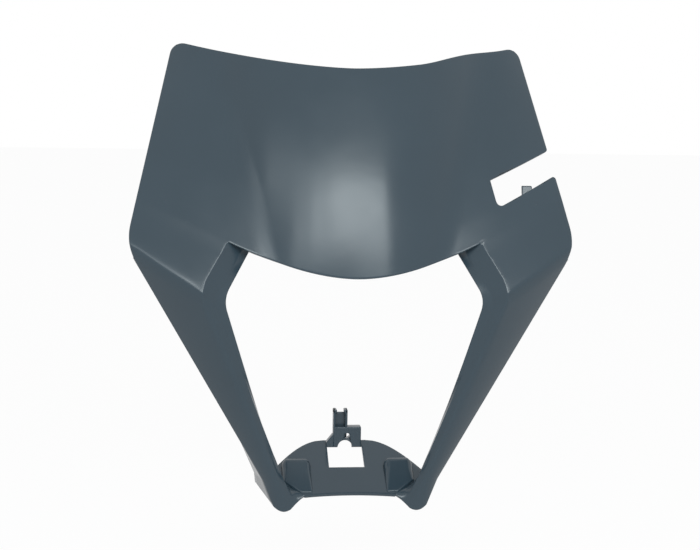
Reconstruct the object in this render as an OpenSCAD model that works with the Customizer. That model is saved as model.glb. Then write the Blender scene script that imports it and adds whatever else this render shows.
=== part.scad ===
// Headlight cowl of an off-road motorcycle, one injection-moulded piece.
// Front faces -Y, top is +Z, left and right are -X and +X. Millimetres.
// The origin is midway between the seats of the two upper lamp screws.
// Depths are given as distances behind the nose, the foremost point of the arc.

/* [Panel outline] */
// Width across the top corners before they are rounded
top_w = 244.4; // [220:0.2:280]
// Height of the top corners above the lamp screws
top_z = 129.9; // [115:0.5:145]
// Height of the top edge at its middle
top_mid_z = 112.6; // [100:0.1:122]
// Power of the curve of the top edge
top_power = 1.65; // [1.2:0.05:2.5]
// Radius of the two top corners
top_corner_r = 9; // [4:0.5:16]
// Extra height of the top edge over the notched wing
top_swell = 2.2; // [0:0.1:4]
// Distance of that swell from the middle
swell_x = 80; // [65:1:90]
// Half the length of that swell
swell_half = 36; // [24:1:44]
// Height of the nose, the lowest point of the arc
nose_z = -22.7; // [-32:0.1:-14]
// Width between the ends of the arc
arc_w = 169; // [150:1:184]
// Height of the ends of the arc
arc_end_z = -1.5; // [-8:0.1:4]
// Power of the curve of the arc
arc_power = 1.85; // [1.5:0.05:2.4]

/* [Panel depth] */
// Lean of the middle line at the nose, depth for each millimetre of height
mid_lean = 0.24; // [0.1:0.01:0.4]
// Depth that the curve of the middle line adds at the top edge
mid_curve = 15; // [5:0.5:28]
// Distance of the wing crease from the middle at the top edge
crease_top_x = 93; // [80:0.5:104]
// Distance of the wing crease from the middle at the arc
crease_low_x = 58.5; // [48:0.5:68]
// Rise of the bulge between the wing creases at the top edge
bulge_top = 39; // [25:0.5:48]
// Rise of the bulge between the wing creases at the arc
bulge_low = 16; // [8:0.5:22]
// Depth of the outer edge at the top corners
edge_top_y = 108; // [90:1:120]
// Depth of the outer edge at the seam above the shoulders
edge_seam_y = 48; // [40:0.5:56]
// Crown of each wing between its crease and its outer edge
wing_crown = 2; // [0:0.1:4]
// Rise of the ridge that runs inwards from the notch
ridge_rise = 1.2; // [0:0.1:2.5]

/* [Legs] */
// Width across the shoulder corners before they are rounded
shoulder_w = 302.6; // [280:0.2:325]
// Height of the shoulder corners
shoulder_z = -5.1; // [-14:0.1:2]
// Depth of the shoulder corners
shoulder_y = 33; // [28:0.5:46]
// Length that the shoulder rounding takes off each side of its corner
shoulder_round = 15; // [8:0.5:20]
// Width across the bends of the inner crease before rounding
bend_w = 206.8; // [190:0.5:222]
// Height of the bends of the inner crease
bend_z = -33.3; // [-40:0.1:-26]
// Depth of the inner crease at its bend
bend_y = 24; // [18:0.5:30]
// Length that the bend rounding takes off each side of its corner
bend_round = 13; // [6:0.5:15]
// Width of the reveal between the inner crease and the return, at the bend
reveal_w = 10.2; // [6:0.1:14]
// Set-back of the reveal at the bend
reveal_y = 5; // [4:0.1:12]
// Width that the return takes out of the lamp opening, at the bend
return_w = 6.3; // [3:0.1:9]
// Depth of the return behind the reveal, at the bend
return_y = 2; // [1:0.1:8]
// Width across the inner edges of the legs at the shelf
foot_w = 105; // [88:0.5:114]
// Height at which the inner edges of the legs meet the shelf
foot_z = -157; // [-164:0.5:-150]
// Width of the front face of each leg at its foot
leg_foot_w = 7.2; // [6:0.1:14]
// Height of the outer foot corners
foot_outer_z = -165; // [-172:0.5:-160]
// Height of the lowest point of the tips
tip_z = -186.2; // [-196:0.1:-182]
// Width across the middles of the two tips
tip_w = 92; // [84:0.5:100]
// Depth of the tips
tip_y = 28; // [24:0.5:32]
// Depth of the small lip along the outer edge of each leg
lip_y = 3; // [1.5:0.1:6]
// Depth of the side walls at the feet
side_y = 57; // [46:0.5:66]
// Outward flare of the side walls over their depth
side_flare = 7; // [2:0.1:10]
// Wall thickness of the moulding
wall = 2.3; // [1.8:0.1:3]

/* [Notch] */
// Distance of the inner end of the notch from the middle
notch_x = 93.4; // [88:0.1:104]
// Height of the upper inner corner of the notch
notch_z = 39.1; // [34:0.1:46]
// Height of the inner end of the notch before it is rounded
notch_h = 18.2; // [10:0.1:20]
// Outward lean of the inner end of the notch over its height
notch_lean = 4.2; // [0:0.1:8]
// Slope of the upper edge of the notch
notch_upper_deg = 23.4; // [15:0.1:30]
// Slope of the lower edge of the notch
notch_lower_deg = 25.7; // [15:0.1:30]
// Radius of the lower inner corner of the notch
notch_r = 3.5; // [1.5:0.1:6]
// Radius of the outer corners that the notch leaves
jaw_r = 2.2; // [1:0.1:5]

/* [Shelf] */
// Slope of the shelf, rising towards the back
shelf_deg = 26; // [18:0.5:32]
// Height of the front edge of the shelf at its middle
shelf_z = -175.4; // [-180:0.1:-172]
// Depth of the front edge of the shelf at its middle
shelf_front_y = 32.5; // [30:0.5:36]
// Depth of the back edge of the shelf
shelf_back_y = 82; // [76:0.5:92]
// Width of the straight part of the back edge
shelf_back_w = 30; // [24:0.5:36]
// Thickness of the shelf
shelf_t = 2.4; // [1.8:0.1:3.5]
// Width of the window in the shelf
window_w = 25; // [18:0.5:30]
// Depth of the front edge of the window
window_front_y = 56; // [50:0.5:60]
// Depth of the back edge of the window
window_back_y = 77.5; // [72:0.5:79]
// Width of each lamp pad on the shelf
pad_w = 18.5; // [12:0.5:20]
// Distance of the inner side of each pad from the middle
pad_x = 25.5; // [18:0.5:28]
// Height of the back of each pad above the shelf
pad_h = 6; // [3:0.5:9]

/* [Clip] */
// Distance of the middle of the clip post from the middle of the shelf
clip_x = -3.2; // [-8:0.5:0]
// Width of the clip post
clip_w = 10.2; // [7:0.1:12]
// Height of the top of the clip post
clip_top_z = -127.3; // [-138:0.5:-124]
// Depth of the channel of the clip post, front to back
clip_d = 7; // [5:0.5:10]
// Width of the clip block over the window
block_w = 18.2; // [14:0.5:22]
// Height of the clip block above the back edge of the shelf
block_h = 11.5; // [8:0.5:14]
// Radius of the hole for the lower lamp screw in the clip block
block_hole_r = 1.9; // [1.5:0.1:2.8]
// Screw hole's distance from the cowl's middle
block_screw_x = 1.8; // [-2:0.1:4]
// Radius of the arch under the clip
arch_r = 5.1; // [3:0.1:6]
// Arch's distance from the cowl's middle
arch_x = 0.3; // [-2:0.1:2]
// Wall between the arch and the screw hole
arch_web = 1.3; // [1:0.1:2.5]
// Thickness of the clip's own walls
clip_skin = 1.8; // [1.2:0.1:2.4]
// Width of each ear on top of the clip
clip_ear = 2.6; // [1.8:0.1:3.4]
// Depth of the slot between the ears
clip_slot = 2.8; // [1:0.1:5]
// Width of the clip's side web along the shelf
web_w = 4.8; // [3:0.1:8]
// Height of the clip's side web where it meets the clip
web_h = 9.5; // [6:0.5:13]

/* [Lamp screws] */
// Distance between the two upper lamp screws
screw_spacing = 90; // [80:1:100]
// Radius of the hole for a lamp screw
screw_r = 2.1; // [1.5:0.1:2.6]
// Depth of the hole for a lamp screw
screw_depth = 9; // [6:0.5:11]
// Radius of a lamp screw boss
boss_r = 5; // [4:0.1:6]
// Depth of the boss seats behind the nose
seat_y = 34; // [30:0.5:40]

/* [Strap hooks] */
// Distance of the outer hooks from the middle
hook_outer_x = 122.6; // [116:0.5:128]
// Distance of the inner hooks from the middle
hook_inner_x = 66; // [60:0.5:74]
// Height of the tips of the outer hooks
hook_outer_z = 34; // [28:0.5:36]
// Height of the tips of the inner hooks
hook_inner_z = 40; // [30:0.5:50]
// Width of a hook
hook_w = 7; // [4:0.5:10]
// Thickness of a hook
hook_t = 3.2; // [2.4:0.1:4.5]
// Reach of a hook behind the wing
hook_reach = 17; // [12:0.5:24]
// Height of a hook from its arm to its tip
hook_rise = 12; // [8:0.5:18]

/* [Hidden] */

// Mesh steps of the skin
n_bulge = 9;
n_wing = 3;
n_face = 5;
n_half = n_bulge + n_wing + n_face;
n_panel = 16;
n_start = 3;
n_round = 6;
n_leg = 13;
n_foot = 4;
n_rows = n_start + n_round + n_leg + n_foot;
round_facets = 48;

// Half widths
corner_x = top_w / 2;
arc_x = arc_w / 2;
shoulder_x = shoulder_w / 2;
bend_x = bend_w / 2;
foot_x = foot_w / 2;
foot_outer_x = foot_x + leg_foot_w;
tip_x = tip_w / 2;
seam_z = shoulder_z + 2 * shoulder_round;

function lerp(a, b, t) = a + (b - a) * t;
function clamp01(t) = max(0, min(1, t));
function bump(t) = abs(t) < 1 ? (1 + cos(180 * t)) / 2 : 0;

// Outer edge of the panel, a straight line from the top corner to the shoulder corner
function edge_x(z) = lerp(shoulder_x, corner_x, (z - shoulder_z) / (top_z - shoulder_z));
seam_x = edge_x(seam_z);

// Upper and lower edges of the panel in the front view
function top_edge(x) =
    top_mid_z + (top_z - top_mid_z) * pow(abs(x) / corner_x, top_power)
    + top_swell * bump((x - swell_x) / swell_half);
function low_edge(x) =
    abs(x) <= arc_x
        ? nose_z + (arc_end_z - nose_z) * pow(abs(x) / arc_x, arc_power)
        : lerp(arc_end_z, seam_z, (abs(x) - arc_x) / (seam_x - arc_x));

// Wing crease: 0 at the arc, 1 at the top edge
crease_low_z = low_edge(crease_low_x);
crease_top_z = top_edge(-crease_top_x);
function crease_t(z) = (z - crease_low_z) / (crease_top_z - crease_low_z);

// Soft ridge that runs from the inner end of the notch towards the nose
ridge_x0 = 36;
ridge_z0 = -1.5;
ridge_slope = (notch_z - notch_h - ridge_z0) / (notch_x + notch_lean + 4 - ridge_x0);
ridge_above = 30;
ridge_below = 16;
ridge_fade = 30;
ridge_past_arc = 60;
function ridge(x, z) =
    let (d = z - ridge_z0 - ridge_slope * (x - ridge_x0))
    let (side = max(0, 1 - (d > 0 ? d / ridge_above : -d / ridge_below)))
    let (start = clamp01((x - ridge_x0) / ridge_fade))
    let (end = clamp01((arc_x + ridge_past_arc - x) / ridge_fade))
    let (along = start * end)
    -ridge_rise * side * along;

// Depth of the front skin at a point of the front view
function depth(x, z) =
    let (h = z - nose_z)
    let (mid = mid_lean * h + mid_curve * pow(h / (top_mid_z - nose_z), 2))
    let (t = crease_t(z))
    let (xa = lerp(crease_low_x, crease_top_x, t))
    let (rise = lerp(bulge_low, bulge_top, t))
    let (a = abs(x))
    let (s = (z - seam_z) / (top_z - seam_z))
    let (edge = lerp(edge_seam_y, edge_top_y, s))
    let (w = (a - xa) / (edge_x(z) - xa))
    ridge(x, z) + (a <= xa
        ? mid + rise * pow(a / xa, 2)
        : lerp(mid + rise, edge, w) - 4 * wing_crown * w * (1 - w));

// Panel point for column i, from -n_half to n_half, and row j, from the top edge down
function col_top_x(a) =
    a <= n_bulge
        ? crease_top_x * a / n_bulge
        : lerp(crease_top_x, corner_x, (a - n_bulge) / (n_wing + n_face));
function col_low_x(a) =
    a <= n_bulge ? crease_low_x * a / n_bulge
    : a <= n_bulge + n_wing ? lerp(crease_low_x, arc_x, (a - n_bulge) / n_wing)
    : lerp(arc_x, seam_x, (a - n_bulge - n_wing) / n_face);
function panel_point(i, j) =
    let (side = i < 0 ? -1 : 1)
    let (x0 = side * col_top_x(abs(i)))
    let (x1 = side * col_low_x(abs(i)))
    let (v = j / n_panel)
    let (x = lerp(x0, x1, v))
    let (z = lerp(top_edge(x0), low_edge(x1), v))
    [x, depth(x, z), z];

// Point of a rail with a rounded corner, for leg row j: straight, rounding, straight, foot
function rail(a, b, c, d, r, j) =
    let (ab = (b - a) / norm(b - a))
    let (bc = (c - b) / norm(c - b))
    let (p = b - r * ab)
    let (q = b + r * bc)
    let (t = (j - n_start) / n_round)
    j <= n_start ? lerp(a, p, j / n_start)
    : j <= n_start + n_round ? lerp(lerp(p, b, t), lerp(b, q, t), t)
    : j <= n_start + n_round + n_leg ? lerp(q, c, (j - n_start - n_round) / n_leg)
    : lerp(c, d, (j - n_start - n_round - n_leg) / n_foot);

// Rails of a leg, each from the panel to the tip, drawn on the right;
// s is 1 on the right and -1 on the left, where the leg is mirrored
function mirror_x(p) = [-p[0], p[1], p[2]];
function panel_end(s, i) =
    let (p = panel_point(s * i, n_panel))
    s > 0 ? p : mirror_x(p);
shelf_slope = tan(shelf_deg);
function shelf_height(y) = shelf_z + shelf_slope * (y - shelf_front_y);

// Where the reveal and the return start, measured from the end of the inner crease,
// and how far below the bend of that crease they turn
reveal_start = [-14, 9.5, 0.6];
return_start = [-20.5, 17, 2.2];
inner_drop = 5.6;
reveal_turn = 0.8 * bend_round;
return_turn = 0.7 * bend_round;

// Feet and tips: the rails meet the shelf's sides, then close round each tip
foot_y = bend_y - 1;
foot_edge_y = foot_y + 6;
foot_reveal = [-4.2, 4.5, -1];
gusset_y = 43;
return_foot_x = foot_x - 5;
tip_half = 5.4;
tip_outer = [tip_x + tip_half + 1, tip_y, tip_z + 3];
tip_inner = [tip_x - tip_half, tip_y, tip_z + 1.2];
tip_front = [0, -0.6, 0];
tip_to_shelf = 0.3;
shelf_sink = 1;
shelf_corner_x = 31;
shelf_arch = 1.6;
shelf_corner_y = shelf_front_y - shelf_arch;
shelf_corner = [shelf_corner_x, shelf_corner_y, shelf_height(shelf_corner_y) - shelf_sink];

function outer_rail(s, j) = rail(
    panel_end(s, n_half), [shoulder_x, shoulder_y, shoulder_z],
    [foot_outer_x, foot_edge_y, foot_outer_z], tip_outer, shoulder_round, j);
function crease_rail(s, j) = rail(
    panel_end(s, n_bulge + n_wing), [bend_x, bend_y, bend_z],
    [foot_x, foot_y, foot_z], tip_inner + tip_front, bend_round, j);
function reveal_rail(s, j) = rail(
    panel_end(s, n_bulge + n_wing) + reveal_start,
    [bend_x - reveal_w, bend_y + reveal_y, bend_z - inner_drop],
    [foot_x, foot_y, foot_z] + foot_reveal, lerp(tip_inner, shelf_corner, tip_to_shelf),
    reveal_turn, j);
function return_rail(s, j) = rail(
    panel_end(s, n_bulge + n_wing) + return_start,
    [bend_x - reveal_w - return_w, bend_y + reveal_y + return_y, bend_z - inner_drop],
    [return_foot_x, gusset_y, shelf_height(gusset_y) - shelf_sink], shelf_corner,
    return_turn, j);

// Side wall behind the outer edge, a small lip that deepens near the foot
side_start = 0.82;
side_flare_leg = 0.75 * side_flare;
side_back_leg = 0.7;
side_out = 0.3;
side_foot = [foot_outer_x + side_flare - 2.4, side_y, tip_z + 12.4];
foot_row = n_rows - n_foot;
function foot_t(j) = max(0, (j - foot_row) / n_foot);
function side_rail(s, j) =
    let (edge = outer_rail(s, min(j, foot_row)))
    let (leg_t = clamp01((j - n_start - n_round) / n_leg))
    let (g = max(0, (leg_t - side_start) / (1 - side_start)))
    let (back = lip_y + side_back_leg * g * (side_y - edge[1] - lip_y))
    lerp(edge + [side_out + side_flare_leg * g, back, 0], side_foot, foot_t(j));

// Leg point for column k, from the side wall inwards, and row j, from the seam down
k_edge = 1;
k_crease = k_edge + n_face;
k_reveal = k_crease + 2;
k_return = k_reveal + 2;
leg_crown = 1.2;
tip_crown = 2.2;
function leg_point(s, k, j) =
    k >= k_edge && k <= k_crease && j == 0 ? panel_end(s, n_half - (k - k_edge))
    : k == 0 ? side_rail(s, j)
    : k <= k_crease
        ? let (u = (k - k_edge) / n_face)
          let (swell = 4 * u * (1 - u))
          lerp(outer_rail(s, j), crease_rail(s, j), u)
          - swell * [0, leg_crown, tip_crown * foot_t(j)]
    : k <= k_reveal ? lerp(crease_rail(s, j), reveal_rail(s, j), (k - k_crease) / 2)
    : lerp(reveal_rail(s, j), return_rail(s, j), (k - k_reveal) / 2);

// Mitred offset of a point by the wall, from the normals of the faces on its two sides
mitre_limit = 0.6;
function unit(v) = v / max(norm(v), 1e-9);
function offset_from(p, left, right, up, down) =
    let (n1 = unit(cross(down - up, p - left)))
    let (n2 = unit(cross(down - up, right - p)))
    let (a = p == left ? n2 : n1)
    let (b = p == right ? n1 : n2)
    p - wall * (a + b) / max(mitre_limit, 1 + a * b);
function panel_inner(i, j) = offset_from(
    panel_point(i, j), panel_point(max(-n_half, i - 1), j), panel_point(min(n_half, i + 1), j),
    panel_point(i, max(0, j - 1)), panel_point(i, min(n_panel, j + 1)));
side_row = n_start + n_round - 1;
function leg_inner(s, k, j) =
    let (i = s * (n_half - (k - k_edge)))
    k >= k_edge && k <= k_crease && j == 0
        ? (s > 0 ? panel_inner(i, n_panel) : mirror_x(panel_inner(i, n_panel)))
        : offset_from(
            leg_point(s, k, j),
            leg_point(s, min(k_return, k + 1), j),
            leg_point(s, max(j < side_row ? k_edge : 0, k - 1), j),
            leg_point(s, k, max(0, j - 1)), leg_point(s, k, min(n_rows, j + 1)));

// Cells and edges of the skin as quads of a closed solid
panel_cols = 2 * n_half + 1;
panel_size = panel_cols * (n_panel + 1);
leg_cols = k_return + 1;
leg_size = leg_cols * (n_rows + 1);
panel_out = [for (j = [0:n_panel]) for (i = [-n_half:n_half]) panel_point(i, j)];
panel_in = [for (j = [0:n_panel]) for (i = [-n_half:n_half]) panel_inner(i, j)];
function leg_points(s) = concat(
    [for (j = [0:n_rows]) for (k = [0:k_return]) leg_point(s, k, j)],
    [for (j = [0:n_rows]) for (k = [0:k_return]) leg_inner(s, k, j)]);

// Both skins of a patch and its open edges; flip turns the faces of a mirrored patch
function turned(f, flip) = flip ? f : [for (i = [len(f) - 1:-1:0]) f[i]];
function patch(start, cols, rows, size, used, flip) = [
    for (j = [0:rows - 1]) for (i = [0:cols - 2]) if (used(i, j))
        let (a = start + j * cols + i, b = a + 1, c = a + cols + 1, d = a + cols)
        each [
            turned([a, d, c], flip), turned([a, c, b], flip),
            turned([a + size, c + size, d + size], flip), turned([a + size, b + size, c + size], flip)
        ]
];
function rim(a, b, size, flip) = turned([a, b, b + size, a + size], flip);

function panel_faces(start) = concat(
    patch(start, panel_cols, n_panel, panel_size, function(i, j) true, false),
    [for (i = [0:panel_cols - 2]) rim(start + i, start + i + 1, panel_size, false)],
    [for (j = [0:n_panel - 1])
        rim(start + (j + 1) * panel_cols, start + j * panel_cols, panel_size, false)],
    [for (j = [0:n_panel - 1])
        rim(start + (j + 1) * panel_cols - 1, start + (j + 2) * panel_cols - 1, panel_size, false)],
    [for (i = [n_face:panel_cols - 2 - n_face])
        let (a = start + n_panel * panel_cols + i)
        rim(a + 1, a, panel_size, false)]
);
function leg_faces(start, flip) = concat(
    patch(start, leg_cols, n_rows, leg_size, function(k, j) k > 0 || j >= side_row, flip),
    [for (k = [0:leg_cols - 2]) if (k >= k_crease)
        rim(start + k, start + k + 1, leg_size, flip)],
    [rim(start + side_row * leg_cols, start + side_row * leg_cols + 1, leg_size, flip)],
    [for (j = [0:side_row - 1])
        rim(start + (j + 1) * leg_cols + 1, start + j * leg_cols + 1, leg_size, flip)],
    [for (j = [side_row:n_rows - 1])
        rim(start + (j + 1) * leg_cols, start + j * leg_cols, leg_size, flip)],
    [for (j = [0:n_rows - 1])
        rim(start + j * leg_cols + k_return, start + (j + 1) * leg_cols + k_return, leg_size, flip)],
    [for (k = [0:leg_cols - 2])
        rim(start + n_rows * leg_cols + k + 1, start + n_rows * leg_cols + k, leg_size, flip)]
);

// The moulded skin: panel, wings, legs with reveal and return, and side walls
module skin() {
    right = 2 * panel_size;
    left = right + 2 * leg_size;
    polyhedron(
        points = concat(
            panel_out, panel_in, leg_points(1), [for (p = leg_points(-1)) mirror_x(p)]),
        faces = concat(panel_faces(0), leg_faces(right, true), leg_faces(left, false)));
}

// Solid of a front-view outline, through the whole depth of the cowl
cut_depth = 2 * edge_top_y;
module through() {
    translate([0, cut_depth, 0])
        rotate([90, 0, 0])
            linear_extrude(cut_depth) children();
}

// Area outside a rounded corner: p is the corner, a and b point along its sides
module corner_waste(p, a, b, r) {
    half = acos(a * b) / 2;
    reach = r / tan(half);
    centre = p + (a + b) / norm(a + b) * r / sin(half);
    past = 1.6;
    difference() {
        polygon([
            centre,
            lerp(centre, p + reach * a, past),
            lerp(centre, p, past),
            lerp(centre, p + reach * b, past)
        ]);
        translate(centre) circle(r, $fn = round_facets);
    }
}

// Notch in the right wing, open at the outer edge
edge_run = unit([shoulder_x - corner_x, shoulder_z - top_z]);
notch_top = [notch_x, notch_z];
notch_end = notch_top + [notch_lean, -notch_h];
notch_up_run = [cos(notch_upper_deg), sin(notch_upper_deg)];
notch_low_run = [cos(notch_lower_deg), sin(notch_lower_deg)];
// Where a line from p along run meets the straight outer edge
function at_edge(p, run) =
    let (c = [corner_x, top_z] - p)
    p + run * (c[0] * edge_run[1] - c[1] * edge_run[0])
        / (run[0] * edge_run[1] - run[1] * edge_run[0]);
upper_jaw = at_edge(notch_top, notch_up_run);
lower_jaw = at_edge(notch_end, notch_low_run);
module notch_outline() {
    past_edge = 12;
    difference() {
        polygon([
            notch_top, notch_end,
            lower_jaw + past_edge * notch_low_run, upper_jaw + past_edge * notch_up_run
        ]);
        corner_waste(notch_end, unit(notch_top - notch_end), notch_low_run, notch_r);
    }
    corner_waste(upper_jaw, -notch_up_run, -edge_run, 0.7 * jaw_r);
    corner_waste(lower_jaw, -notch_low_run, edge_run, jaw_r);
}

module top_corner_outline() {
    slope = (top_z - top_mid_z) * top_power / corner_x;
    for (side = [-1, 1])
        corner_waste(
            [side * corner_x, top_z], unit([-side, -slope]),
            [side * edge_run[0], edge_run[1]], top_corner_r);
}

// Space behind the middle of the wall, bounded in front by the tangent plane at a point
module behind(x, z, size) {
    step = 1;
    reach = 60;
    gx = (depth(x + step, z) - depth(x - step, z)) / (2 * step);
    gz = (depth(x, z + step) - depth(x, z - step)) / (2 * step);
    y0 = depth(x, z) + wall / 2 * norm([gx, gz, 1]);
    front = [for (c = [[-1, -1], [1, -1], [1, 1], [-1, 1]])
        [x + c[0] * size, y0 + (gx * c[0] + gz * c[1]) * size, z + c[1] * size]];
    back = [for (p = front) [p[0], y0 + reach, p[2]]];
    polyhedron(
        points = concat(front, back),
        faces = [
            [3, 2, 1, 0], [4, 5, 6, 7], [5, 4, 0, 1],
            [6, 5, 1, 2], [7, 6, 2, 3], [4, 7, 3, 0]]);
}

// Boss behind the panel for an upper lamp screw, open at its seat
screw_z = 0;
module lamp_boss(x) {
    difference() {
        intersection() {
            translate([x, seat_y, screw_z])
                rotate([90, 0, 0])
                    cylinder(r = boss_r, h = seat_y, $fn = round_facets);
            behind(x, screw_z, boss_r + 2);
        }
        translate([x, seat_y + 1, screw_z])
            rotate([90, 0, 0])
                cylinder(r = screw_r, h = screw_depth + 1, $fn = round_facets);
    }
}

// Hook for a rubber strap: an arm behind the wing with an upturned tip
module strap_hook(x, tip_z_pos) {
    arm_z = tip_z_pos - hook_rise;
    tip_y_pos = depth(x, arm_z) + hook_reach;
    intersection() {
        translate([x, 0, 0])
            rotate([90, 0, -90])
                linear_extrude(hook_w, center = true)
                    polygon([
                        [0, arm_z - hook_t / 2], [-tip_y_pos, arm_z - hook_t / 2],
                        [-tip_y_pos - hook_t, arm_z + hook_t / 2],
                        [-tip_y_pos - hook_t, tip_z_pos], [-tip_y_pos, tip_z_pos],
                        [-tip_y_pos, arm_z + hook_t / 2], [0, arm_z + hook_t / 2]
                    ]);
        behind(x, arm_z, hook_w / 2 + hook_rise + hook_t);
    }
}

// Web that closes the upper end of a reveal against the back of the panel
module reveal_web(s) {
    rise = 9;
    into = 0.6 * wall;
    thick = [0.5, 0.4, 2];
    low = reveal_rail(s, 0) + [0, 0.6, 0.8];
    top = return_rail(s, 0) + [0.6, -0.6, 0.8];
    function against(p) = [p[0] + 1, depth(s * (p[0] + 1), p[2] + rise) + into, p[2] + rise];
    front = [low, top, against(return_rail(s, 0)), against(reveal_rail(s, 0))];
    points = concat(front, [for (p = front) p + thick]);
    mirror([s > 0 ? 0 : 1, 0, 0])
        polyhedron(
            points = points,
            faces = [
                [0, 1, 2], [0, 2, 3], [4, 6, 5], [4, 7, 6],
                [5, 1, 0], [4, 5, 0], [6, 2, 1], [5, 6, 1],
                [7, 3, 2], [6, 7, 2], [4, 0, 3], [7, 4, 3]]);
}

// Shelf plane: the origin is the middle of its front edge, x across, y up the slope
function up_slope(y) = (y - shelf_front_y) / cos(shelf_deg);
module on_shelf() {
    translate([0, shelf_front_y, shelf_z])
        rotate([shelf_deg, 0, 0]) children();
}

// Right half of the outline of the shelf; its back is flat, then a quarter of a cosine
shelf_side_x = foot_outer_x + 0.4;
n_arch = 4;
n_back = 10;
shelf_half = concat(
    [for (t = [0:n_arch])
        [t / n_arch * shelf_corner_x, up_slope(shelf_front_y - shelf_arch * pow(t / n_arch, 2))]],
    [[return_foot_x, up_slope(gusset_y)]],
    [for (t = [n_back:-1:0])
        [
            lerp(shelf_back_w / 2, shelf_side_x, t / n_back),
            up_slope(lerp(gusset_y, shelf_back_y, cos(90 * t / n_back)))
        ]]
);
shelf_outline = concat(
    shelf_half,
    [for (i = [len(shelf_half) - 1:-1:1]) [-shelf_half[i][0], shelf_half[i][1]]]);

module rounded_rect(x0, y0, x1, y1, r) {
    translate([x0, y0 + r]) square([x1 - x0, y1 - y0 - 2 * r]);
    translate([x0 + r, y0]) square([x1 - x0 - 2 * r, y1 - y0]);
    for (x = [x0 + r, x1 - r])
        for (y = [y0 + r, y1 - r])
            translate([x, y]) circle(r, $fn = round_facets / 2);
}

module shelf() {
    window_r = 1.5;
    on_shelf()
        translate([0, 0, -shelf_t])
            linear_extrude(shelf_t)
                difference() {
                    polygon(shelf_outline);
                    rounded_rect(
                        -window_w / 2, up_slope(window_front_y),
                        window_w / 2, up_slope(window_back_y), window_r);
                    translate([arch_x - arch_r, up_slope(window_back_y) - 1])
                        square([2 * arch_r, shelf_back_y]);
                }
}

// Lamp pad: a wedge that rises towards the back of the shelf, round at its upper edge
pad_back_y = 61;
module pad(side) {
    outer = pad_x + pad_w;
    r = 1.5;
    base_t = 1.2;
    back = up_slope(pad_back_y);
    front_in = up_slope(shelf_front_y + 2);
    front_out = up_slope(gusset_y + 2);
    on_shelf()
        hull() {
            translate([0, 0, 0.2 - base_t])
                linear_extrude(base_t)
                    polygon([
                        [side * pad_x, front_in], [side * outer, front_out],
                        [side * outer, back + r], [side * pad_x, back + r]
                    ]);
            for (x = [pad_x + r, outer - r])
                translate([side * x, back - r, pad_h - r])
                    sphere(r, $fn = round_facets / 3);
        }
}

// Clip behind the window: a channel post beside a block that takes the lower lamp screw
clip_y = shelf_back_y - clip_d - 0.4;
clip_floor_z = shelf_height(window_back_y) - shelf_t / 2;
clip_left_x = clip_x - clip_w / 2;
block_x0 = clip_left_x + clip_skin;
block_z = shelf_height(shelf_back_y) + block_h;
block_screw_z = clip_floor_z + arch_r + block_hole_r + arch_web;
module from_front(x, z) {
    translate([x, clip_y - 1, z])
        rotate([-90, 0, 0]) children();
}
module clip() {
    difference() {
        union() {
            translate([clip_left_x, clip_y, clip_floor_z])
                cube([clip_w, clip_d, clip_top_z - clip_floor_z]);
            translate([block_x0, clip_y, clip_floor_z])
                cube([block_w, clip_d, block_z - clip_floor_z]);
            translate([clip_left_x, clip_y + clip_d - 0.5, clip_floor_z])
                rotate([90, 0, 0])
                    linear_extrude(clip_d - 1)
                        polygon([
                            [-web_w, 0], [-web_w, shelf_height(shelf_back_y) - clip_floor_z],
                            [0, web_h], [clip_skin, web_h], [clip_skin, 0]
                        ]);
        }
        translate([clip_left_x + clip_skin, clip_y - 1, block_z + 1])
            cube([clip_w - 2 * clip_skin, clip_d + 1 - clip_skin, cut_depth]);
        translate([clip_left_x + clip_ear, clip_y - 1, clip_top_z - clip_slot])
            cube([clip_w - 2 * clip_ear, clip_d + 2, cut_depth]);
        from_front(arch_x, clip_floor_z)
            cylinder(r = arch_r, h = clip_d + 2, $fn = round_facets);
        from_front(block_screw_x, block_screw_z)
            cylinder(r = block_hole_r, h = clip_d + 2, $fn = round_facets);
    }
}

// All of the moulding, with depths counted from the nose
module moulding() {
    difference() {
        skin();
        through() {
            notch_outline();
            top_corner_outline();
        }
    }
    for (side = [-1, 1]) {
        lamp_boss(side * screw_spacing / 2);
        strap_hook(side * hook_outer_x, hook_outer_z);
        strap_hook(side * hook_inner_x, hook_inner_z);
        reveal_web(side);
        pad(side);
    }
    shelf();
    clip();
}

module headlight_cowl() {
    color("#4c545d")
        translate([0, -seat_y, 0])
            moulding();
}

headlight_cowl();
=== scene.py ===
import math

import bmesh
import bpy
from mathutils import Matrix, Vector


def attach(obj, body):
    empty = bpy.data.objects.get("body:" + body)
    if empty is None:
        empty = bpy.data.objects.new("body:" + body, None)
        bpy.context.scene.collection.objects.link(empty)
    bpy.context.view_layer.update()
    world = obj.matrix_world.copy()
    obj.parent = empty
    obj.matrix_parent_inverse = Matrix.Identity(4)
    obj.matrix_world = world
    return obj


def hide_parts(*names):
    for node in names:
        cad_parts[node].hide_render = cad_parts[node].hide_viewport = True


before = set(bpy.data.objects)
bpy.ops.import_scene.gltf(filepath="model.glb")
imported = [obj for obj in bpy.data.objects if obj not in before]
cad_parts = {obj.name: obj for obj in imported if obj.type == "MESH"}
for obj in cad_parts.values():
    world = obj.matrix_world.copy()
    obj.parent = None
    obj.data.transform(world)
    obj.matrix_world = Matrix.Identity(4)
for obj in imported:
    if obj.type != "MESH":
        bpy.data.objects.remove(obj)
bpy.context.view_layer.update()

NODE = "headlight_cowl"
MM = 0.001

# Sizes in mm, as the part's source has them, but for three that the photograph sets here:
# ridge_rise, pad_w and shelf_sink. Depths count from the nose, and the frame's origin lies
# seat_y behind it.
seat_y = 34.0
wall = 2.3

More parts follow.
